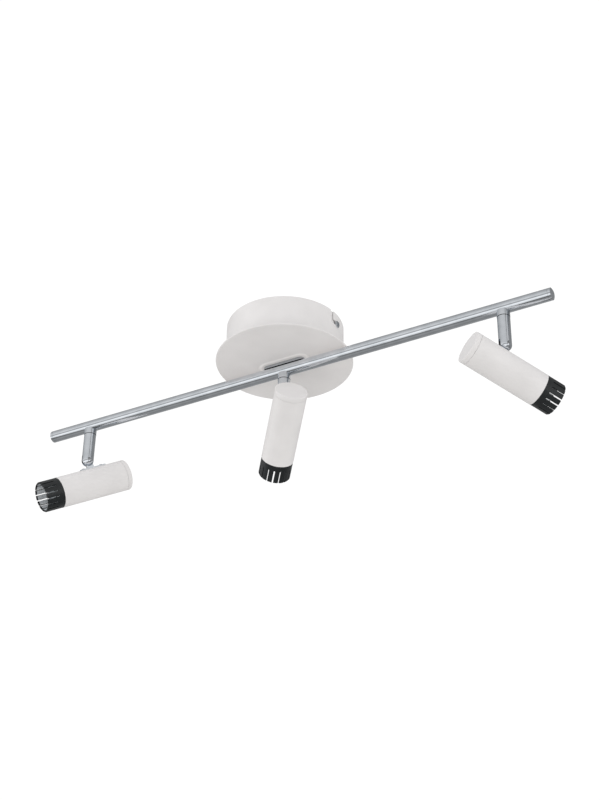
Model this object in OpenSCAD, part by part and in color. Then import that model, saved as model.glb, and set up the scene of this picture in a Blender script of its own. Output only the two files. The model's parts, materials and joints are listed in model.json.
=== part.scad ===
// Ceiling spot bar: a round canopy carries a chrome bar on a small chrome block. Three arms hang
// from the bar. Each arm swivels about its own vertical axis, and its forked lower end carries a
// spot head that tilts on a cross pin.
// The origin is the middle of the face that lies on the ceiling. +X runs along the bar, +Z is up.

/* [Canopy] */
// Outside diameter of the ceiling cup
cup_d = 114.5; // [95:0.5:150]
// Height of the ceiling cup, floor included
cup_h = 37.3; // [32:0.1:60]
// Thickness of the cup's steel sheet
cup_t = 1; // [0.8:0.1:1.5]
// How far the cover disc stands out around the cup
disc_overhang = 9.5; // [2:0.5:30]
// Thickness of the cover disc
disc_t = 2; // [1.5:0.1:4]
// Width of the hooked slot in the cup's rim
hook_slot_w = 4.4; // [4.3:0.1:6]
// Distance round the rim from a side screw to the middle of its entry slot
hook_slot_shift = 8.4; // [6:0.1:12]
// Depth of the side screws below the ceiling
side_screw_drop = 11.5; // [9:0.5:14]

/* [Ceiling bracket] */
// Width of the strap
strap_w = 20; // [16:1:30]
// Thickness of the strap
strap_t = 1.5; // [1:0.1:2]
// Width of the bracket's ears
ear_w = 28; // [20:1:40]
// Gap between the bracket's ears and the cup's wall
ear_gap = 0.4; // [0.2:0.1:1]
// Distance between the two slots for the ceiling screws
slot_spacing = 60; // [50:1:70]
// Width of a slot for a ceiling screw
slot_w = 4.5; // [4:0.1:5.5]
// Length of a slot for a ceiling screw, end to end
slot_l = 16; // [10:1:20]
// Diameter of the hole for the house cable
cable_hole_d = 14; // [10:1:18]

/* [Wiring] */
// Width of the driver's case
driver_w = 30; // [24:1:40]
// Height of the driver's case
driver_h = 20; // [16:0.5:22]
// Distance from the middle of the canopy to the driver's case
driver_in = 12.5; // [11:0.5:16]
// Gap between the corners of the driver's case and the cup
driver_gap = 0.6; // [0.4:0.1:3]
// Width of the terminal block
terminal_w = 13; // [10:0.5:16]
// Height of the terminal block
terminal_h = 13; // [10:0.5:16]
// Distance between two poles of the terminal block
pole_pitch = 11; // [9:0.5:12]

/* [Bar] */
// Length of the bar over its end caps
bar_l = 552; // [460:1:900]
// Outside diameter of the bar
bar_d = 12; // [12:0.1:16]
// Wall of the bar
bar_wall = 1; // [0.8:0.1:1.2]
// Length of an end cap outside the bar's tube, with its dome
end_cap_l = 4.5; // [3:0.1:8]
// Gap between the cover disc and the top of the bar
bar_gap = 2.3; // [1.5:0.1:6]
// Length of the block that holds the bar
block_l = 44; // [38:0.5:60]
// Width of the block that holds the bar
block_w = 8.6; // [8:0.1:10]

/* [Arms] */
// Distance from each end of the bar to the nearest arm
bar_overhang = 49; // [20:1:120]
// Outside diameter of an arm
arm_d = 12; // [12:0.1:16]
// How much wider the fixed stub is than the arm
stub_step = 0.3; // [0:0.05:2]
// Length of the fixed stub below the bar
stub_h = 4.7; // [3:0.1:10]
// Gap between the bar and a head's rear end when the head points straight down
bar_rear_gap = 2.5; // [2:0.1:20]
// Width of the slot in the arm's fork
fork_slot_w = 2.4; // [2.2:0.1:3]
// Diameter of the tilt pin
pin_d = 3; // [2.5:0.1:3.2]
// Diameter of the spigot that the arm turns on
spigot_d = 6; // [5:0.1:6.2]

/* [Spot heads] */
// Outside diameter of the white tube
head_d = 31; // [28:0.5:38]
// Wall of the white tube
tube_wall = 1.5; // [1:0.1:2]
// Length of the white tube with its rear cap
tube_l = 75; // [68:0.5:90]
// Thickness of the rear cap's rim
cap_t = 4.5; // [2:0.1:5.5]
// Distance from the tilt pin back to the rear end
rear_reach = 32.5; // [28:0.5:40]
// Gap between the arm's round end and the tube
hinge_gap = 3.7; // [3.5:0.1:8]
// Length of the slotted ring in front of the tube
ring_l = 18.8; // [12:0.1:24]
// How much smaller the ring is than the tube, on the diameter
ring_step = 0.4; // [0.2:0.1:1]
// Wall of the slotted ring
ring_wall = 1.6; // [1.2:0.1:2]
// Number of slots round the ring
ring_slots = 16; // [8:1:24]
// Width of a slot in the ring
ring_slot_w = 1.3; // [1:0.1:2.5]
// Length of a slot in the ring
ring_slot_l = 12.5; // [6:0.1:16]
// Thickness of the tongue that enters the fork
tongue_t = 2; // [1.5:0.1:2.1]
// Width of the tongue
tongue_w = 7.6; // [6.5:0.1:8]
// Length of the saddle strip on the tube
saddle_l = 27.5; // [25:0.5:32]
// Distance of the saddle strip's middle behind the tongue
saddle_back = 1.25; // [0:0.05:2]
// Width of the saddle strip
saddle_w = 8; // [7:0.5:10]
// Thickness of the saddle strip
saddle_t = 1.2; // [0.8:0.1:1.5]

/* [Aim at rest] */
// Compass heading of the left, middle and right heads, counted from +X towards +Y
heading = [230.5, 130, 53.5]; // [0:0.5:360]
// How far the left, middle and right heads point below level
tilt = [28, 28.5, 19.5]; // [-30:0.5:90]

/* [Hidden] */
$fn = 96;
eps = 0.01;
press_gap = 0.02;   // radial gap of a piece that is pushed in and stays
run_gap = 0.05;     // radial gap of a piece that turns
seat_gap = 0.1;     // gap round a piece that is screwed or clipped in place

cup_r = cup_d / 2;
cup_ri = cup_r - cup_t;
disc_r = cup_r + disc_overhang;
floor_z = -cup_h + cup_t;
disc_z = -cup_h - disc_t;
bar_r = bar_d / 2;
bar_ri = bar_r - bar_wall;
bar_z = disc_z - bar_gap - bar_r;
end_dome = 1.8;      // height of the dome on an end cap
tube_half = bar_l / 2 - end_cap_l;
arm_pitch = bar_l / 2 - bar_overhang;
arm_r = arm_d / 2;
stub_r = arm_r + stub_step / 2;
stub_z = bar_z - bar_r - stub_h;
washer_t = 0.4;
arm_top = stub_z - washer_t - 2 * seat_gap;
pivot_z = bar_z - bar_r - bar_rear_gap - rear_reach;
pin_r = pin_d / 2;
spigot_r = spigot_d / 2;
neck_r = spigot_r + 1;
neck_top = bar_z - 1.5;
clip_t = 0.8;
spigot_top = neck_top + clip_t + 1.6;
lead_bore_r = 1.8;
lead_r = 1.3;
fork_top = tongue_w / 2 + 0.9;

head_r = head_d / 2;
tube_ri = head_r - tube_wall;
hinge_h = arm_r + hinge_gap;
axis_drop = hinge_h + head_r;
front_x = tube_l - rear_reach;
ring_r = head_r - ring_step / 2;
ring_bevel = ring_wall * 0.6;
ring_ri = ring_r - ring_wall;
ring_neck_ri = tube_ri - seat_gap - 1.2;
socket_l = 6;       // how deep the cap and the ring reach into the tube
lens_x = front_x - 0.6;
board_x = lens_x - 11.5;
board_t = 1.6;
sink_base = 3;

screw_r = 1.95;     // M4 thread, at its outside
screw_hole_r = 2;
bolt_gap_r = 2.25;  // free hole for an M4 screw
block_screw_x = block_l / 2 - 8;
bush_r = 3.4;
bush_bore_r = 2.4;
driver_l = 2 * sqrt(pow(cup_ri - driver_gap, 2) - pow(driver_in + driver_w, 2));
driver_size = [driver_l, driver_w, driver_h];
driver_y = driver_in + driver_w / 2;
driver_wall = 1.5;
driver_board_t = 1.6;
poles = 3;
terminal_size = [poles * pole_pitch + 1, terminal_w, terminal_h];
terminal_y = -driver_in - 1 - terminal_w / 2;
earth_at = [terminal_size.x / 2 + 14, terminal_y];

SIDES = [-1, 1];
ARMS = [0, 1, 2];

function arm_x(i) = (i - 1) * arm_pitch;

// ---- shared shapes ----

// Cylinder along X from x0 to x1
module rod_x(x0, x1, r) translate([x0, 0, 0]) rotate([0, 90, 0]) cylinder(h = x1 - x0, r = r);

// Upright cylinder from z0 to z1
module rod_z(z0, z1, r) translate([0, 0, z0]) cylinder(h = z1 - z0, r = r);

// Cylinder along Y, centred
module rod_y(l, r) rotate([90, 0, 0]) cylinder(h = l, r = r, center = true);

// Flat bar with round ends, lying along X, with its lower face at z = 0
module stadium(l, w, h) {
    for (s = SIDES) translate([s * (l - w) / 2, 0, 0]) cylinder(h = h, d = w);
    translate([-(l - w) / 2, -w / 2, 0]) cube([l - w, w, h]);
}

// Straight round wire from one point to another
module wire(from, to, r) {
    run = to - from;
    translate(from) rotate([0, atan2(norm([run.x, run.y]), run.z), atan2(run.y, run.x)])
        cylinder(h = norm(run), r = r);
}

// Pan-head screw along +Z: the head's underside is at z = 0 and the shank points down
module pan_screw(head_r, head_h, shank_r, shank_l) {
    difference() {
        union() {
            rod_z(0, head_h * 0.55, head_r);
            translate([0, 0, head_h * 0.55]) cylinder(h = head_h * 0.45, r1 = head_r, r2 = head_r * 0.7);
            rod_z(-shank_l, eps, shank_r);
        }
        for (a = [0, 90]) rotate([0, 0, a]) translate([-head_r * 0.6, -head_r * 0.1, head_h * 0.45])
            cube([head_r * 1.2, head_r * 0.2, head_h]);
    }
}

module at_arms(i) translate([arm_x(i), 0, 0]) children();

// Frame of arm i: origin on the tilt pin, +X along the head's heading
module at_pivot(i) translate([arm_x(i), 0, pivot_z]) rotate([0, 0, heading[i]]) children();

// Frame of head i: origin on the tilt pin, +X towards the light's front
module at_head(i) at_pivot(i) rotate([0, tilt[i], 0]) children();

// As at_head, with the origin on the tube's own axis
module on_axis(i) at_head(i) translate([0, 0, -axis_drop]) children();

// ---- canopy ----

ear_r = cup_ri - ear_gap;
ear_drop = side_screw_drop + 5;

module ceiling_bracket() color("whitesmoke") difference() {
    union() {
        intersection() {
            rod_z(-strap_t, 0, ear_r - strap_t / 2);
            translate([-cup_r, -strap_w / 2, -strap_t]) cube([cup_d, strap_w, strap_t]);
        }
        intersection() {
            difference() {
                rod_z(-ear_drop, 0, ear_r);
                rod_z(-ear_drop - 1, 1, ear_r - strap_t);
            }
            translate([-cup_r, -ear_w / 2, -ear_drop]) cube([cup_d, ear_w, ear_drop]);
        }
    }
    for (s = SIDES) translate([s * slot_spacing / 2, 0, -strap_t - 1]) stadium(slot_l, slot_w, strap_t + 2);
    rod_z(-strap_t - 1, 1, cable_hole_d / 2);
    translate([0, 0, -side_screw_drop]) rod_x(-cup_r, cup_r, screw_hole_r);
}

module side_screws() color("gainsboro") for (a = [0, 180]) rotate([0, 0, a])
    translate([cup_r + seat_gap, 0, -side_screw_drop]) rotate([0, 90, 0]) pan_screw(3.5, 1.4, screw_r, 6);

// A rim slot goes straight down beside the screw and then across to it
module hook_slot() {
    w = hook_slot_w;
    low = -side_screw_drop - w / 2;
    translate([cup_ri - 3, -hook_slot_shift - w / 2, low]) cube([6, w, 20]);
    translate([cup_ri - 3, -hook_slot_shift - w / 2, low]) cube([6, hook_slot_shift + w / 2, w]);
    translate([0, 0, -side_screw_drop]) rod_x(cup_ri - 3, cup_ri + 3, w / 2);
}

// Holes for the wire bush and the block's screws
module passage(z0, z1, middle_r) {
    rod_z(z0, z1, middle_r);
    for (s = SIDES) translate([s * block_screw_x, 0, 0]) rod_z(z0, z1, bolt_gap_r);
}

module canopy_cup() color("whitesmoke") difference() {
    rod_z(-cup_h, 0, cup_r);
    rod_z(floor_z, 1, cup_ri);
    passage(-cup_h - 1, 0, bush_r + press_gap);
    for (a = [0, 180]) rotate([0, 0, a]) hook_slot();
    translate([earth_at.x, earth_at.y, 0]) rod_z(-cup_h - 1, 0, screw_hole_r);
}

module canopy_disc() color("whitesmoke") difference() {
    rotate_extrude() {
        translate([0, disc_z]) square([disc_r - disc_t / 2, disc_t]);
        translate([disc_r - disc_t / 2, disc_z + disc_t / 2]) circle(d = disc_t, $fn = 32);
    }
    passage(disc_z - 1, -cup_h + 1, bush_r + press_gap);
    // blind hole for the end of the earth screw
    translate([earth_at.x, earth_at.y, -cup_h]) rod_z(-disc_t / 2 - 0.3, 1, bolt_gap_r);
}

module bar_block() color("gainsboro") difference() {
    translate([0, 0, bar_z + bar_r / 2]) stadium(block_l, block_w, disc_z - bar_z - bar_r / 2);
    translate([0, 0, bar_z]) rod_x(-block_l, block_l, bar_r + press_gap);
    passage(bar_z, disc_z + 1, bush_r + press_gap);
}

block_screw_z = floor_z + seat_gap;
block_screw_l = block_screw_z - bar_z;

module block_screws() color("silver") for (s = SIDES)
    translate([s * block_screw_x, 0, block_screw_z]) pan_screw(3.8, 2.4, screw_r, block_screw_l);

module clinch_nuts() color("darkgray") for (s = SIDES) translate([s * block_screw_x, 0, 0]) difference() {
    intersection() {
        rod_z(bar_z + 0.4, bar_z + bar_r, 3.2);
        translate([0, 0, bar_z]) rod_x(-5, 5, bar_ri - press_gap);
    }
    rod_z(bar_z - 1, bar_z + bar_r, screw_hole_r);
}

bush_low = bar_z + bar_ri - 2.4;

module wire_bush() color("dimgray") difference() {
    union() {
        rod_z(bush_low, floor_z + eps, bush_r);
        rod_z(floor_z + press_gap, floor_z + 1.5, bush_r + 1.6);
    }
    rod_z(bush_low - 1, floor_z + 2, bush_bore_r);
}

// ---- bar ----

module bar_tube() color("gainsboro") difference() {
    translate([0, 0, bar_z]) difference() {
        rod_x(-tube_half, tube_half, bar_r);
        rod_x(-tube_half - 1, tube_half + 1, bar_ri);
    }
    passage(bar_z, disc_z, bush_r + press_gap);
    for (i = ARMS) at_arms(i) rod_z(stub_z, bar_z, neck_r + press_gap);
}

module bar_end_caps() color("gainsboro") for (a = [0, 180]) rotate([0, 0, a])
    translate([tube_half, 0, bar_z]) rotate([0, 90, 0]) {
        ball_r = (bar_r * bar_r + end_dome * end_dome) / (2 * end_dome);
        rod_z(-5, seat_gap + eps, bar_ri - press_gap);
        intersection() {
            rod_z(seat_gap, end_cap_l + 1, bar_r);
            translate([0, 0, end_cap_l - ball_r]) sphere(r = ball_r);
        }
    }

// Straight wires lie on the bottom of the bore, between one arm's clip and the next
module bar_wires() color("firebrick") {
    wire_r = 0.75;
    side_y = 1.5;
    lie = sqrt(pow(bar_ri - wire_r - seat_gap, 2) - side_y * side_y);
    clear_x = neck_r + 2;
    for (s = SIDES, y = [-side_y, side_y]) translate([s * arm_pitch / 2, y, bar_z - lie])
        rod_x(clear_x - arm_pitch / 2, arm_pitch / 2 - clear_x, wire_r);
}

// ---- wiring in the canopy ----

driver_z = floor_z + seat_gap;
terminal_z = driver_z;

// Wires from the outer poles to the driver, and from the driver down into the bush: [from, to, radius]
pole_z = terminal_z + terminal_h * 0.4;
wire_in = driver_in + driver_wall + 0.7;
WIRES = concat(
    [for (s = SIDES) [[s * pole_pitch, terminal_y + 2, pole_z], [s * pole_pitch, wire_in, pole_z], 0.9]],
    [for (s = SIDES) [[s, -0.6, floor_z + 0.1], [s, wire_in, driver_z + driver_h * 0.7], 0.6]]);

module driver_case() color("dimgray") translate([0, driver_y, driver_z]) difference() {
    inner = [driver_size.x - 2 * driver_wall, driver_size.y - 2 * driver_wall, driver_size.z];
    translate([0, 0, driver_size.z / 2]) cube(driver_size, center = true);
    translate([0, 0, driver_size.z / 2 + driver_wall]) cube(inner, center = true);
    // a round hole for each pole's wire, and a window for the two that go down
    for (s = SIDES) translate([s * pole_pitch, -driver_w / 2, pole_z - driver_z])
        rod_y(2 * driver_wall + 1, 1.4);
    translate([0, -driver_w / 2, driver_h * 0.62]) cube([5, 2 * driver_wall + 1, 7], center = true);
}

module driver_lid() color("gray") translate([0, driver_y, driver_z + driver_size.z]) {
    lip = [driver_size.x - 2 * driver_wall - 0.3, driver_size.y - 2 * driver_wall - 0.3, 2];
    translate([0, 0, 0.8]) cube([driver_size.x, driver_size.y, 1.5], center = true);
    translate([0, 0, -lip.z / 2 + 0.1]) cube(lip, center = true);
}

module driver_board() color("seagreen") translate([0, driver_y, driver_z + driver_wall + 2]) {
    board = [driver_size.x - 2 * driver_wall - 3, driver_size.y - 2 * driver_wall - 2, driver_board_t];
    translate([0, 0, driver_board_t / 2]) cube(board, center = true);
    translate([-board.x / 5, 0, driver_board_t + 5]) cube([14, board.y - 8, 10 + eps], center = true);
    translate([board.x / 6, board.y / 4, 0]) rod_z(driver_board_t - eps, 12, 3.5);
    translate([board.x / 6, -board.y / 4, driver_board_t + 2]) cube([8, 5, 4 + eps], center = true);
}

module terminal_block() color("ivory") translate([0, terminal_y, terminal_z]) difference() {
    union() {
        base = [terminal_size.x, terminal_size.y, terminal_size.z / 2];
        pole = [pole_pitch - 2, terminal_size.y - 2, terminal_size.z];
        translate([0, 0, base.z / 2]) cube(base, center = true);
        for (p = [0 : poles - 1]) translate([(p - 1) * pole_pitch, 0, pole.z / 2]) cube(pole, center = true);
    }
    for (p = [0 : poles - 1]) translate([(p - 1) * pole_pitch, 0, 0]) {
        translate([0, 0, terminal_size.z * 0.4]) rod_y(terminal_size.y + 2, 2);
        rod_z(terminal_size.z * 0.4, terminal_size.z + 1, 1.9);
    }
}

module terminal_screws() color("goldenrod") for (p = [0 : poles - 1])
    translate([(p - 1) * pole_pitch, terminal_y, terminal_z]) difference() {
        rod_z(terminal_size.z * 0.4 + 1, terminal_size.z - 1.5, 1.8);
        translate([-2, -0.3, terminal_size.z - 2.3]) cube([4, 0.6, 2]);
    }

module earth_screw() color("goldenrod") translate([earth_at.x, earth_at.y, floor_z + seat_gap])
    pan_screw(3.6, 2.4, screw_r, seat_gap + cup_t + disc_t / 2);

module canopy_wires() color("sienna") for (w = WIRES) wire(w[0], w[1], w[2]);

// ---- arms ----

module swivel_washers() color("dimgray") for (i = ARMS) at_arms(i) difference() {
    rod_z(arm_top + seat_gap, stub_z - seat_gap, arm_r - 0.7);
    rod_z(arm_top - 1, stub_z + 1, spigot_r + run_gap);
}

module stub(i) color("gainsboro") at_arms(i) difference() {
    union() {
        difference() {
            rod_z(stub_z, bar_z - bar_r * 0.67, stub_r);
            translate([0, 0, bar_z]) rod_x(-arm_d, arm_d, bar_r + press_gap);
        }
        rod_z(stub_z + 1, neck_top, neck_r);
    }
    rod_z(stub_z - 1, neck_top + 1, spigot_r + run_gap);
}

module arm(i) color("gainsboro") at_pivot(i) difference() {
    union() {
        sphere(r = arm_r);
        rod_z(0, arm_top - pivot_z, arm_r);
        rod_z(arm_top - pivot_z - 1, spigot_top - pivot_z, spigot_r);
    }
    translate([-arm_d, -fork_slot_w / 2, -arm_d]) cube([2 * arm_d, fork_slot_w, arm_d + fork_top]);
    rod_y(2 * arm_d, pin_r + press_gap);
    rod_z(0, spigot_top - pivot_z + 1, lead_bore_r);
    // groove for the clip
    difference() {
        rod_z(neck_top + seat_gap - pivot_z, neck_top + seat_gap + clip_t + 0.1 - pivot_z, spigot_r + 1);
        rod_z(neck_top - pivot_z, neck_top + clip_t + 1 - pivot_z, spigot_r - 0.5);
    }
}

module swivel_clip(i) color("dimgray") at_pivot(i) translate([0, 0, neck_top + seat_gap - pivot_z]) {
    difference() {
        rod_z(0, clip_t, neck_r + 0.2);
        rod_z(-1, clip_t + 1, spigot_r - 0.5 + press_gap);
        translate([0, -1, -1]) cube([neck_r * 2, 2, clip_t + 2]);
    }
}

module arm_lead(i) color("dimgray") at_pivot(i) rod_z(fork_top + 0.5, spigot_top - pivot_z - 0.3, lead_r);

module tilt_pin(i) color("silver") at_pivot(i) rod_y(arm_d - 1.2, pin_r);

// ---- spot heads ----

// Centre of the saddle strip along the head, and its two screws
saddle_x = -saddle_back;
saddle_screw_x = [for (s = SIDES) saddle_x + s * (saddle_l / 2 - 4)];

module saddle(i) color("gainsboro") difference() {
    at_head(i) difference() {
        union() {
            rod_y(tongue_t, tongue_w / 2);
            translate([-tongue_w / 2, -tongue_t / 2, -hinge_h + saddle_t / 2])
                cube([tongue_w, tongue_t, hinge_h - saddle_t / 2]);
            translate([0, 0, -axis_drop]) intersection() {
                rod_x(saddle_x - saddle_l / 2, saddle_x + saddle_l / 2, head_r + saddle_t);
                translate([saddle_x, 0, head_r]) cube([saddle_l + 1, saddle_w, 8], center = true);
            }
        }
        translate([0, 0, -axis_drop]) rod_x(-saddle_l, saddle_l, head_r + press_gap);
        rod_y(2 * tongue_t, pin_r + run_gap);
        for (x = saddle_screw_x) translate([x, 0, 0]) rod_z(-axis_drop, 0, 1.3);
    }
}

module saddle_screws(i) color("silver") on_axis(i) for (x = saddle_screw_x)
    translate([x, 0, head_r + saddle_t + press_gap]) pan_screw(2.2, 1.1, 1.2, saddle_t + tube_wall + 0.8);

module head_tube(i) color("whitesmoke") on_axis(i) difference() {
    rod_x(cap_t - rear_reach + 2 * seat_gap, front_x, head_r);
    rod_x(-rear_reach, front_x + 1, tube_ri);
    // small chamfer inside the front lip
    translate([front_x - 0.5, 0, 0]) rotate([0, 90, 0]) cylinder(h = 0.6, r1 = tube_ri, r2 = tube_ri + 0.6);
    for (x = saddle_screw_x) translate([x, 0, 0]) rod_z(0, head_r + 1, 1.25);
}

module rear_cap(i) color("whitesmoke") on_axis(i) {
    edge = 0.8;
    difference() {
        union() {
            translate([-rear_reach, 0, 0]) rotate([0, 90, 0]) rotate_extrude() {
                square([head_r - edge, cap_t]);
                translate([0, edge]) square([head_r, cap_t - edge]);
                translate([head_r - edge, edge]) circle(r = edge, $fn = 32);
            }
            rod_x(-rear_reach + cap_t - eps, -rear_reach + cap_t + socket_l, tube_ri - seat_gap);
        }
        rod_x(-rear_reach + cap_t, -rear_reach + cap_t + socket_l + 1, tube_ri - seat_gap - 1.4);
    }
}

module slotted_ring(i) color("darkslategray") on_axis(i) difference() {
    union() {
        rod_x(front_x + seat_gap, front_x + ring_l - ring_bevel, ring_r);
        translate([front_x + ring_l - ring_bevel - eps, 0, 0]) rotate([0, 90, 0])
            cylinder(h = ring_bevel + eps, r1 = ring_r, r2 = ring_r - ring_bevel * 0.7);
        rod_x(front_x - socket_l, front_x + seat_gap + eps, tube_ri - seat_gap);
    }
    rod_x(front_x + seat_gap + 1.2, front_x + ring_l + 1, ring_ri);
    rod_x(front_x - socket_l - 1, front_x + 2, ring_neck_ri);
    for (k = [0 : ring_slots - 1]) rotate([360 * (k + 0.5) / ring_slots, 0, 0]) {
        translate([front_x + ring_l - ring_slot_l, -ring_slot_w / 2, ring_ri - 2])
            cube([ring_slot_l + 1, ring_slot_w, ring_wall + 4]);
        translate([front_x + ring_l - ring_slot_l, 0, 0]) rod_z(ring_ri - 2, ring_r + 2, ring_slot_w / 2);
    }
}

sink_fins = 14;

module heat_sink(i) color("silver") on_axis(i) difference() {
    // the fins stop in front of the saddle's front screw
    sink_l = board_x - saddle_screw_x[1] - 2;
    union() {
        rod_x(board_x - sink_base, board_x, tube_ri - seat_gap);
        rod_x(board_x - sink_l, board_x - sink_base + eps, 5.5);
        intersection() {
            rod_x(board_x - sink_l, board_x - sink_base + eps, tube_ri - 0.5);
            for (k = [0 : sink_fins - 1]) rotate([360 * k / sink_fins, 0, 0])
                translate([board_x - sink_l, -0.6, 4]) cube([sink_l, 1.2, tube_ri]);
        }
    }
    rod_x(board_x - sink_l - 1, board_x + 1, 1.5);
}

module led_board(i) color("white") on_axis(i) {
    rod_x(board_x + press_gap, board_x + board_t, 10);
    rod_x(board_x + board_t - eps, board_x + board_t + 0.7, 4.5);
}

module lens(i) color("lightcyan") on_axis(i) difference() {
    back = board_x + board_t + seat_gap;
    flange = 1.6;
    union() {
        translate([back, 0, 0]) rotate([0, 90, 0])
            cylinder(h = lens_x - flange - back + eps, r1 = 6.4, r2 = ring_neck_ri - 1);
        rod_x(lens_x - flange, lens_x, ring_neck_ri - seat_gap);
    }
    rod_x(back - 1, back + 3.2, 5);
}

// ---- which node to draw ----

ceiling_bracket();
side_screws();
canopy_cup();
canopy_disc();
bar_block();
block_screws();
clinch_nuts();
wire_bush();
bar_tube();
bar_end_caps();
driver_case();
driver_lid();
driver_board();
terminal_block();
terminal_screws();
earth_screw();
canopy_wires();
bar_wires();
swivel_washers();

for (i = ARMS) {
    side = ["left", "middle", "right"][i];
    stub(i);
    arm(i);
    swivel_clip(i);
    arm_lead(i);
    tilt_pin(i);
    saddle(i);
    saddle_screws(i);
    head_tube(i);
    rear_cap(i);
    slotted_ring(i);
    heat_sink(i);
    led_board(i);
    lens(i);
}
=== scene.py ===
"""Ceiling spot bar: finishes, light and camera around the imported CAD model."""

import json
import math

import bpy
from mathutils import Matrix, Vector


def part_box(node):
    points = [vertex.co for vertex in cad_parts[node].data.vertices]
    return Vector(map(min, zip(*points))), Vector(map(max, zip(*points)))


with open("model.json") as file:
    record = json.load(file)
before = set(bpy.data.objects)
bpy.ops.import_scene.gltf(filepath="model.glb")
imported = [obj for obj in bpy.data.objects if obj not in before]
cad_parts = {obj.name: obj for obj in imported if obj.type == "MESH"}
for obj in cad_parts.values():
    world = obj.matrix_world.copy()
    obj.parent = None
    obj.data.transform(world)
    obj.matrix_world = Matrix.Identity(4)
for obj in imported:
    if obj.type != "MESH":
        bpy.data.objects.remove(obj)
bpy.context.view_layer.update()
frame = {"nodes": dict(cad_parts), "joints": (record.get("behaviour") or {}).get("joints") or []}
nodes = frame["nodes"]
joints = {joint["name"]: joint for joint in frame["joints"]}

SIDES = ("left", "middle", "right")
LOWEST_TILT = -30.0  # every head can tip up until its front is 30 degrees above level
MM = 1000.0  # millimetres in a metre

PAINT = "dedcdc"
PAINT_ROUGHNESS = 0.36
RING_PAINT = "1c2022"

# Details that are drawn in a material, in millimetres
SEAT_HIGHLIGHT_MM = 3.5  # from the block to the middle of the painted highlight on the disc
SEAT_HIGHLIGHT_FADE_MM = (0.4, 2.2)
SEAT_STEP_MM = (3.0, 5.5)  # from the block to where the disc's seat starts and ends its fall
SEAT_HEIGHT_MM = 0.8
JOINT_SHADOW_MM = 0.9  # width of the painted shadow line where the bar lies in the block
RING_TIP_MM = 1.5  # the black paint goes this far into the ring's mouth
RING_WALL_MM = 0.06  # a wall this close to the bore counts as the bore
RING_TIP_SLACK_M = 1e-4  # corners this close to the front count as the fingers' tips
LED_SOURCE_MM = 4.3  # radius of the yellow light source


def linear(code):
    """Linear RGBA from a hex colour."""
    parts = [int(code[i : i + 2], 16) / 255 for i in (0, 2, 4)]
    return [c / 12.92 if c <= 0.04045 else ((c + 0.055) / 1.055) ** 2.4 for c in parts] + [1.0]


def darker(code, share):
    """A hex colour with every channel cut to this share of itself."""
    return "".join(f"{int(int(code[i : i + 2], 16) * share):02x}" for i in (0, 2, 4))


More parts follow.
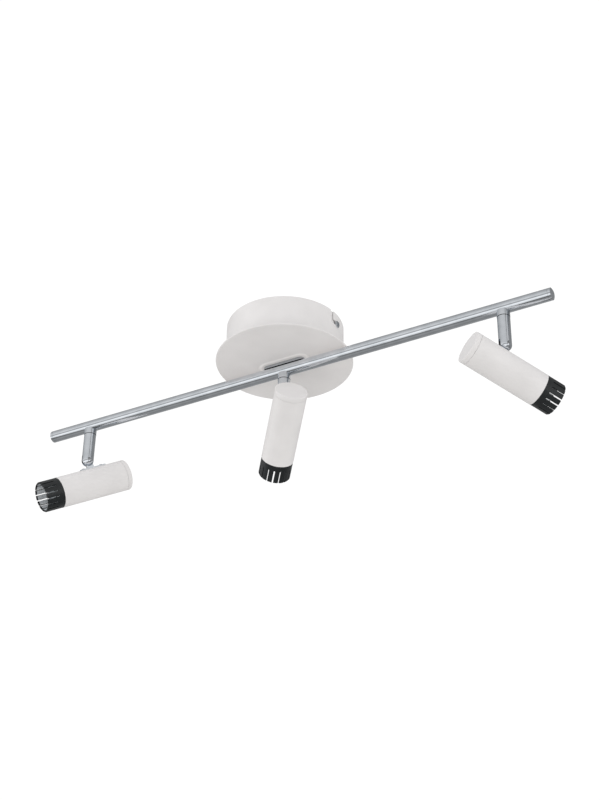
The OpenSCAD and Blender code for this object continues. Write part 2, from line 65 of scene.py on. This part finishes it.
class Finish:
    """A procedural material: one Principled shader, and patterns measured in millimetres on the object."""

    def __init__(self, name, color, roughness, metallic=0.0, **sockets):
        self.material = bpy.data.materials.new(name)
        self.material.use_nodes = True
        self.tree = self.material.node_tree
        self.tree.nodes.clear()
        self.shader = self.add("ShaderNodeBsdfPrincipled")
        out = self.add("ShaderNodeOutputMaterial")
        self.link(self.shader.outputs[0], out.inputs["Surface"])
        self.shader.inputs["Base Color"].default_value = linear(color)
        self.shader.inputs["Roughness"].default_value = roughness
        self.shader.inputs["Metallic"].default_value = metallic
        for socket, value in sockets.items():
            self.shader.inputs[socket.replace("_", " ")].default_value = value
        coords = self.add("ShaderNodeTexCoord")
        scale = self.add("ShaderNodeVectorMath", operation="SCALE")
        scale.inputs["Scale"].default_value = MM
        self.link(coords.outputs["Object"], scale.inputs[0])
        self.place = scale.outputs[0]
        self.height = None

    def add(self, kind, **settings):
        node = self.tree.nodes.new(kind)
        for key, value in settings.items():
            setattr(node, key, value)
        return node

    def link(self, source, target):
        self.tree.links.new(source, target)

    def math(self, operation, *values):
        """A sum on numbers and sockets."""
        node = self.add("ShaderNodeMath", operation=operation)
        for i, value in enumerate(values):
            if isinstance(value, (int, float)):
                node.inputs[i].default_value = value
            else:
                self.link(value, node.inputs[i])
        return node.outputs[0]

    def turned(self, along):
        """The place, turned so that its X runs along a direction."""
        node = self.add("ShaderNodeVectorRotate", rotation_type="EULER_XYZ")
        turn = Vector(along).rotation_difference(Vector((1, 0, 0))).to_euler()
        self.link(self.place, node.inputs["Vector"])
        node.inputs["Rotation"].default_value = turn
        return node.outputs[0]

    def noise(self, size, detail=2.0, stretch=(1, 1, 1), place=None):
        """Noise from 0 to 1 with lumps of about this size in millimetres."""
        mapping = self.add("ShaderNodeMapping")
        mapping.inputs["Scale"].default_value = [1 / s for s in stretch]
        self.link(place or self.place, mapping.inputs["Vector"])
        node = self.add("ShaderNodeTexNoise")
        node.inputs["Scale"].default_value = 1 / size
        node.inputs["Detail"].default_value = detail
        self.link(mapping.outputs[0], node.inputs["Vector"])
        return node.outputs["Fac"]

    def span(self, value, low, high, from_low=0.3, from_high=0.7):
        """A value spread over low to high; by default the middle of a noise's range is used."""
        node = self.add("ShaderNodeMapRange")
        node.inputs["From Min"].default_value = from_low
        node.inputs["From Max"].default_value = from_high
        node.inputs["To Min"].default_value = low
        node.inputs["To Max"].default_value = high
        self.link(value, node.inputs["Value"])
        return node.outputs["Result"]

    def mix(self, fac, a, b):
        """Colour a where the factor is 0 and b where it is 1; each is a hex colour or a socket."""
        node = self.add("ShaderNodeMix", data_type="RGBA")
        self.link(fac, node.inputs["Factor"])
        ends = [s for s in node.inputs if s.type == "RGBA"]
        for socket, value in zip(ends, (a, b)):
            if isinstance(value, str):
                socket.default_value = linear(value)
            else:
                self.link(value, socket)
        return [s for s in node.outputs if s.type == "RGBA"][0]

    def blend(self, value, a, b):
        """A soft change between two colours, led by a noise."""
        return self.mix(self.span(value, 0.0, 1.0), a, b)

    def color(self, source):
        self.link(source, self.shader.inputs["Base Color"])
        return self

    def rough(self, value, low, high):
        self.link(self.span(value, low, high), self.shader.inputs["Roughness"])
        return self

    def bump(self, value, depth, strength=1.0):
        """Raises the surface by up to this depth in millimetres."""
        node = self.add("ShaderNodeBump")
        node.inputs["Strength"].default_value = strength
        node.inputs["Distance"].default_value = depth / MM
        self.link(value, node.inputs["Height"])
        if self.height:
            self.link(self.height, node.inputs["Normal"])
        self.height = node.outputs[0]
        self.link(self.height, self.shader.inputs["Normal"])
        return self


def powder_coat(name, color, roughness, depth=0.03):
    """Baked powder paint: a faint orange peel, and fine grains in its gloss."""
    f = Finish(name, color, roughness)
    peel = f.noise(1.6, 2.0)
    grain = f.noise(0.25, 1.0)
    haze = f.noise(28.0, 2.0)
    f.color(f.blend(haze, color, darker(color, 0.975)))
    f.rough(grain, roughness - 0.04, roughness + 0.05)
    return f.bump(peel, depth, 0.5).bump(grain, 0.004, 0.3)


def disc_finish():
    """The cup's powder paint, with a low seat around the block drawn by a bump, and a painted highlight along
    the seat's edge.
    """
    f = powder_coat("white_powder_disc", PAINT, PAINT_ROUGHNESS)
    low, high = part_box("bar_block")
    radius = (high[1] - low[1]) * MM / 2
    half = (high[0] - low[0]) * MM / 2 - radius
    split = f.add("ShaderNodeSeparateXYZ")
    f.link(f.place, split.inputs[0])
    past = f.math("MAXIMUM", f.math("SUBTRACT", f.math("ABSOLUTE", split.outputs[0]), half), 0.0)
    squares = f.math("ADD", f.math("POWER", past, 2.0), f.math("POWER", split.outputs[1], 2.0))
    away = f.math("SQRT", squares)
    # Painted highlight: a lighter band on the paint along the seat's edge, where its slope would catch the
    # light.
    highlight_band = f.math("ABSOLUTE", f.math("SUBTRACT", away, radius + SEAT_HIGHLIGHT_MM))
    paint = f.shader.inputs["Base Color"].links[0].from_socket
    f.color(f.mix(f.span(highlight_band, 0.7, 0.0, *SEAT_HIGHLIGHT_FADE_MM), paint, "f6f4f3"))
    start, end = SEAT_STEP_MM
    return f.bump(f.span(away, 1.0, 0.0, radius + start, radius + end), SEAT_HEIGHT_MM, 1.0)


def chrome(name, along=(1, 0, 0)):
    """Polished plating over drawn tube: faint draw lines along it, and a little haze."""
    f = Finish(name, "dde1e6", 0.09, 1.0)
    lines = f.noise(0.35, 2.0, (60, 1, 1), f.turned(along))
    haze = f.noise(9.0, 3.0)
    f.color(f.blend(haze, "e1e5ea", "d1d6db"))
    f.rough(haze, 0.075, 0.125)
    return f.bump(lines, 0.0004, 0.15)


def block_finish():
    """Polished like the bar, with a painted shadow line where the bar lies in it."""
    f = Finish("chrome_block", "b5b9bd", 0.08, 1.0)
    low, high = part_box("bar_tube")
    point = (Vector(low) + Vector(high)) / 2
    radius = axis_distance(f, point, Vector((1, 0, 0)))[0]
    # Painted shade: the block is near black within this width of the bar, for the shadow where the bar lies
    # in it.
    joint = f.math("LESS_THAN", radius, (high[2] - low[2]) * MM / 2 + JOINT_SHADOW_MM)
    f.color(f.mix(joint, f.blend(f.noise(9.0, 3.0), "bdc1c5", "adb1b6"), "141414"))
    f.rough(f.noise(6.0, 2.0), 0.06, 0.14)
    return f.bump(f.noise(0.5, 2.0, (20, 1, 1)), 0.002, 0.3)


def zinc(name):
    """Zinc plate on pressed steel: a soft grain and faint colour clouds."""
    f = Finish(name, "a6a9ab", 0.36, 1.0)
    grain = f.noise(0.5, 3.0, (8, 1, 1))
    clouds = f.noise(12.0, 3.0)
    f.color(f.blend(clouds, "b2b4b5", "98999a"))
    f.rough(grain, 0.30, 0.44)
    return f.bump(grain, 0.01, 0.4)


def plastic(name, color, shade, roughness, grain_size=0.5):
    """Moulded plastic with a fine spark-eroded grain."""
    f = Finish(name, color, roughness)
    grain = f.noise(grain_size, 2.0)
    f.color(f.blend(f.noise(14.0, 2.0), color, shade))
    f.rough(grain, roughness - 0.05, roughness + 0.06)
    return f.bump(grain, 0.02, 0.4)


def brass(name):
    """Turned brass, a little tarnished in places."""
    f = Finish(name, "c9a35c", 0.24, 1.0)
    clouds = f.noise(2.5, 3.0)
    f.color(f.blend(clouds, "d1ad68", "a98245"))
    f.rough(clouds, 0.18, 0.34)
    return f.bump(f.noise(0.3, 2.0), 0.006, 0.4)


def head_axis(side):
    """A point on the spot's own axis beside the tilt pin, and the axis's direction, in metres."""
    joint = joints[side + "_tilt"]
    pin = Vector(joint["axis"]).normalized()
    tilt = math.radians(LOWEST_TILT - joint["range_deg"][0])
    level = pin.cross(Vector((0, 0, 1)))
    forward = level * math.cos(tilt) - Vector((0, 0, 1)) * math.sin(tilt)
    down = forward.cross(pin)
    if down.z > 0:
        down.negate()
    low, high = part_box(side + "_tube")
    middle = (Vector(low) + Vector(high)) / 2
    pivot = Vector(joint["pos_m"])
    return pivot + down * (middle - pivot).dot(down), forward


def axis_distance(f, point, direction):
    """Distance from a line, in millimetres, and the way along it."""
    away = f.add("ShaderNodeVectorMath", operation="SUBTRACT")
    f.link(f.place, away.inputs[0])
    away.inputs[1].default_value = Vector(point) * MM
    cross = f.add("ShaderNodeVectorMath", operation="CROSS_PRODUCT")
    f.link(away.outputs[0], cross.inputs[0])
    cross.inputs[1].default_value = direction
    length = f.add("ShaderNodeVectorMath", operation="LENGTH")
    f.link(cross.outputs[0], length.inputs[0])
    dot = f.add("ShaderNodeVectorMath", operation="DOT_PRODUCT")
    f.link(away.outputs[0], dot.inputs[0])
    dot.inputs[1].default_value = direction
    return length.outputs["Value"], dot.outputs["Value"]


def ring_finish(side):
    """Satin black outside and on the fingers' tips, bare bright metal on the inner wall."""
    f = Finish(side + "_ring_black", RING_PAINT, 0.34)
    point, direction = head_axis(side)
    radius, along = axis_distance(f, point, direction)
    corners = [v.co - point for v in nodes[side + "_slotted_ring"].data.vertices]
    front = max(c.dot(direction) for c in corners)
    tips = [c for c in corners if c.dot(direction) > front - RING_TIP_SLACK_M]
    bore = min(c.cross(direction).length for c in tips)
    wall = f.math("LESS_THAN", radius, bore * MM + RING_WALL_MM)
    inside = f.math("MULTIPLY", wall, f.math("LESS_THAN", along, front * MM - RING_TIP_MM))
    peel = f.noise(0.8, 2.0)
    outer = f.blend(f.noise(11.0, 2.0), RING_PAINT, "16191b")
    inner = f.blend(f.noise(3.0, 2.0), "c6cacd", "aeb2b6")
    f.color(f.mix(inside, outer, inner))
    f.rough(peel, 0.30, 0.40)
    return f.bump(peel, 0.02, 0.35)


def led_finish(side):
    """White solder mask, with a yellow light source in the middle."""
    f = Finish(side + "_led_board", "eceae2", 0.35)
    point, direction = head_axis(side)
    source = f.math("LESS_THAN", axis_distance(f, point, direction)[0], LED_SOURCE_MM)
    white = f.blend(f.noise(1.0, 2.0), "edebe4", "e2dfd5")
    yellow = f.blend(f.noise(0.5, 2.0), "e6b93f", "d7a52c")
    f.color(f.mix(source, white, yellow))
    f.rough(f.noise(0.4, 2.0), 0.30, 0.45)
    return f.bump(f.noise(0.5, 2.0), 0.01, 0.3)


def lens_finish(name):
    """Clear moulded plastic with a slow ripple."""
    f = Finish(name, "f2f6f7", 0.03, Transmission_Weight=0.9, IOR=1.49)
    ripple = f.noise(2.2, 1.0)
    f.rough(ripple, 0.02, 0.06)
    return f.bump(ripple, 0.02, 0.3)


def heat_sink_finish(side):
    """Bare pressed-out aluminium, with faint lines along the spot."""
    f = Finish(side + "_sink", "b9bcbe", 0.34, 1.0)
    lines = f.noise(0.4, 2.0, (50, 1, 1), f.turned(head_axis(side)[1]))
    f.color(f.blend(f.noise(6.0, 2.0), "c2c5c7", "a7abae"))
    f.rough(lines, 0.28, 0.42)
    return f.bump(lines, 0.01, 0.5)


WHITE = powder_coat("white_powder_coat", PAINT, PAINT_ROUGHNESS).material
CHROME_X = chrome("chrome_bar").material
CHROME_Z = chrome("chrome_upright", (0, 0, 1)).material
ZINC = zinc("zinc_plate").material
GREY = plastic("grey_moulding", "3a3b3d", "2f3032", 0.5).material
IVORY = plastic("white_moulding", "dcd9cc", "cfcbbb", 0.42).material
BROWN = plastic("brown_insulation", "5e3a24", "4c2d1b", 0.38, 0.9).material
RED = plastic("red_insulation", "9a2a20", "7d1f18", 0.38, 0.9).material
BOARD = plastic("solder_mask", "1f5a3a", "17482e", 0.28, 1.4).material
BRASS = brass("brass_screws").material


def dress(node, material):
    """Puts one material on every slot of a CAD node."""
    mesh = nodes[node].data
    if not mesh.materials:
        mesh.materials.append(material)
    for i in range(len(mesh.materials)):
        mesh.materials[i] = material


LOOKS = {
    "ceiling_bracket": WHITE,
    "side_screws": CHROME_Z,
    "canopy_cup": WHITE,
    "canopy_disc": disc_finish().material,
    "bar_block": block_finish().material,
    "block_screws": ZINC,
    "clinch_nuts": ZINC,
    "wire_bush": GREY,
    "bar_tube": CHROME_X,
    "bar_end_caps": CHROME_X,
    "driver_case": GREY,
    "driver_lid": GREY,
    "driver_board": BOARD,
    "terminal_block": IVORY,
    "terminal_screws": BRASS,
    "earth_screw": BRASS,
    "canopy_wires": BROWN,
    "bar_wires": RED,
    "swivel_washers": GREY,
}
for side in SIDES:
    LOOKS[side + "_stub"] = CHROME_Z
    LOOKS[side + "_arm"] = CHROME_Z
    LOOKS[side + "_swivel_clip"] = ZINC
    LOOKS[side + "_arm_lead"] = GREY
    LOOKS[side + "_tilt_pin"] = ZINC
    LOOKS[side + "_saddle"] = chrome(side + "_saddle_chrome", head_axis(side)[1]).material
    LOOKS[side + "_saddle_screws"] = CHROME_Z
    LOOKS[side + "_tube"] = WHITE
    LOOKS[side + "_rear_cap"] = WHITE
    LOOKS[side + "_slotted_ring"] = ring_finish(side).material
    LOOKS[side + "_heat_sink"] = heat_sink_finish(side).material
    LOOKS[side + "_led_board"] = led_finish(side).material
    LOOKS[side + "_lens"] = lens_finish(side + "_lens_clear").material
for node, material in LOOKS.items():
    dress(node, material)

# Polished metal throws on about as much light as it blocks. Diffuse rays pass the bar and the block, so
# the white paint beside them stays bright, as in the photo.
for node in ("bar_tube", "bar_block"):
    nodes[node].visible_diffuse = False


# ---- floor, light and camera ----


FLOOR_HALF_WIDTH = 40.0
FLOOR_HEIGHT = -2.4

CAMERA_PLACE = (0.6335, -1.1028, -0.8781)
CAMERA_YAW, CAMERA_PITCH, CAMERA_ROLL = 0.5091, 0.5601, 0.0176  # radians
CAMERA_LENS_MM, CAMERA_SENSOR_MM = 70.70, 36.0
CAMERA_NEAR = 0.05

# Name, place and size in metres, and power in watts
LIGHTS = (
    ("key", (-1.6, -1.4, 0.9), 1.2, 1.2, 9),
    ("fill", (1.8, 0.4, -0.2), 1.0, 1.6, 6),
    ("front", (0.2, -1.5, -1.6), 1.6, 1.6, 9),
)
LIGHT_TARGET = (0, 0, -0.08)

BACKDROP_STRENGTH = 1.05  # just past white, so that the picture's ground is clean


def build_floor():
    """A wide pale floor well below the lamp; polished metal doesn't mirror it."""
    mesh = bpy.data.meshes.new("floor")
    s, z = FLOOR_HALF_WIDTH, FLOOR_HEIGHT
    mesh.from_pydata([(-s, -s, z), (s, -s, z), (s, s, z), (-s, s, z)], [], [(0, 1, 2, 3)])
    floor = bpy.data.objects.new("floor", mesh)
    bpy.context.scene.collection.objects.link(floor)
    mesh.materials.append(powder_coat("pale_floor", "e4e3e1", 0.7).material)
    floor.visible_glossy = False


def area_light(name, place, width, height, power):
    """A soft light aimed at the lamp; polished metal doesn't mirror it."""
    data = bpy.data.lights.new(name, "AREA")
    data.shape = "RECTANGLE"
    data.size, data.size_y, data.energy = width, height, power
    light = bpy.data.objects.new(name, data)
    aim = Vector(LIGHT_TARGET) - Vector(place)
    turn = aim.to_track_quat("-Z", "Y").to_matrix().to_4x4()
    light.matrix_world = Matrix.Translation(place) @ turn
    light.visible_glossy = False
    bpy.context.scene.collection.objects.link(light)


# Brightness of the studio by the angle about the bar, in degrees from +Y up towards +Z
REFLECTED = (
    (-180, 0.42), (-176, 0.36), (-170, 0.5), (-163, 1.05), (-155, 1.25), (-138, 0.90), (-131, 0.5),
    (-125, 0.08), (-120, 0.08), (-115, 0.22), (-104, 0.29), (-90, 0.36), (-64, 0.27), (-35, 0.31),
    (-6, 0.39), (28, 0.40), (52, 0.38), (85, 0.40), (111, 0.50), (135, 0.62), (159, 0.79), (172, 0.80),
    (180, 0.42),
)  # fmt: skip
# What the upright strips do to that, by compass heading in degrees from +X towards +Y
UPRIGHT = (
    (-180, 1.0), (-39, 1.0), (-37, 0.25), (-31, 0.25), (-29, 1.35), (-12, 1.25), (5, 0.8), (45, 0.7),
    (80, 0.75), (92, 1.0), (180, 1.0),
)  # fmt: skip
# Brightness of the studio for matt light, by height from straight down to straight up
DIFFUSE = ((0.0, 0.64), (0.35, 0.74), (0.5, 0.94), (0.75, 1.0), (1.0, 1.1))


def build_world():
    """White to the camera, and a soft studio with strip lights around the object for everything else."""
    world = bpy.data.worlds.new("studio")
    bpy.context.scene.world = world
    world.use_nodes = True
    tree = world.node_tree
    tree.nodes.clear()

    def add(kind, **settings):
        node = tree.nodes.new(kind)
        for key, value in settings.items():
            setattr(node, key, value)
        return node

    def stops(source, low, high, values):
        """A ramp that follows a value, with its stops given at places from 0 to 1, and its top brightness."""
        spread = add("ShaderNodeMapRange")
        spread.inputs["From Min"].default_value = low
        spread.inputs["From Max"].default_value = high
        tree.links.new(source, spread.inputs["Value"])
        ramp = add("ShaderNodeValToRGB")
        elements = ramp.color_ramp.elements
        while len(elements) < len(values):
            elements.new(0.5)
        top = max(value for _, value in values)
        for element, (place, value) in zip(elements, values):
            element.position = place
            element.color = (value / top, value / top, value / top, 1)
        tree.links.new(spread.outputs["Result"], ramp.inputs["Fac"])
        return ramp.outputs["Color"], top

    def glow(color, strength):
        background = add("ShaderNodeBackground")
        background.inputs["Strength"].default_value = strength
        tree.links.new(color, background.inputs["Color"])
        return background.outputs[0]

    def combine(operation, a, b):
        node = add("ShaderNodeMath", operation=operation)
        tree.links.new(a, node.inputs[0])
        if isinstance(b, (int, float)):
            node.inputs[1].default_value = b
        else:
            tree.links.new(b, node.inputs[1])
        return node.outputs[0]

    def choose(chance, a, b):
        mix = add("ShaderNodeMixShader")
        tree.links.new(chance, mix.inputs["Fac"])
        tree.links.new(a, mix.inputs[1])
        tree.links.new(b, mix.inputs[2])
        return mix.outputs[0]

    coords = add("ShaderNodeTexCoord")
    split = add("ShaderNodeSeparateXYZ")
    tree.links.new(coords.outputs["Generated"], split.inputs[0])
    about_bar = combine("ARCTAN2", split.outputs["Z"], split.outputs["Y"])
    heading = combine("ARCTAN2", split.outputs["Y"], split.outputs["X"])
    bands = [
        stops(turn, -math.pi, math.pi, [((degrees + 180) / 360, value) for degrees, value in values])
        for turn, values in ((about_bar, REFLECTED), (heading, UPRIGHT))
    ]
    shiny = glow(combine("MULTIPLY", bands[0][0], bands[1][0]), bands[0][1] * bands[1][1])
    soft = glow(*stops(split.outputs["Z"], -1.0, 1.0, DIFFUSE))
    seen = add("ShaderNodeBackground")
    seen.inputs["Color"].default_value = (1, 1, 1, 1)
    seen.inputs["Strength"].default_value = BACKDROP_STRENGTH
    path = add("ShaderNodeLightPath")
    out = add("ShaderNodeOutputWorld")
    # True until the path has met a matt surface, so that paint isn't lit by the mirrored strips
    mirrored = combine("LESS_THAN", path.outputs["Diffuse Depth"], 0.5)
    lit = choose(combine("MULTIPLY", path.outputs["Is Glossy Ray"], mirrored), soft, shiny)
    tree.links.new(choose(path.outputs["Is Camera Ray"], lit, seen.outputs[0]), out.inputs["Surface"])


def build_camera():
    """Below the lamp, looking up and to the left at it."""
    yaw, pitch, roll = CAMERA_YAW, CAMERA_PITCH, CAMERA_ROLL
    ahead = Vector((-math.sin(yaw) * math.cos(pitch), math.cos(yaw) * math.cos(pitch), math.sin(pitch)))
    level = Vector((math.cos(yaw), math.sin(yaw), 0))
    above = level.cross(ahead)
    right = level * math.cos(roll) + above * math.sin(roll)
    up = above * math.cos(roll) - level * math.sin(roll)
    data = bpy.data.cameras.new("camera")
    data.lens, data.sensor_width, data.clip_start = CAMERA_LENS_MM, CAMERA_SENSOR_MM, CAMERA_NEAR
    camera = bpy.data.objects.new("camera", data)
    turn = Matrix((right, up, -ahead)).transposed().to_4x4()
    camera.matrix_world = Matrix.Translation(CAMERA_PLACE) @ turn
    bpy.context.scene.collection.objects.link(camera)
    bpy.context.scene.camera = camera


build_floor()
build_world()
build_camera()
for light in LIGHTS:
    area_light(*light)
bpy.context.scene.view_settings.view_transform = "Standard"
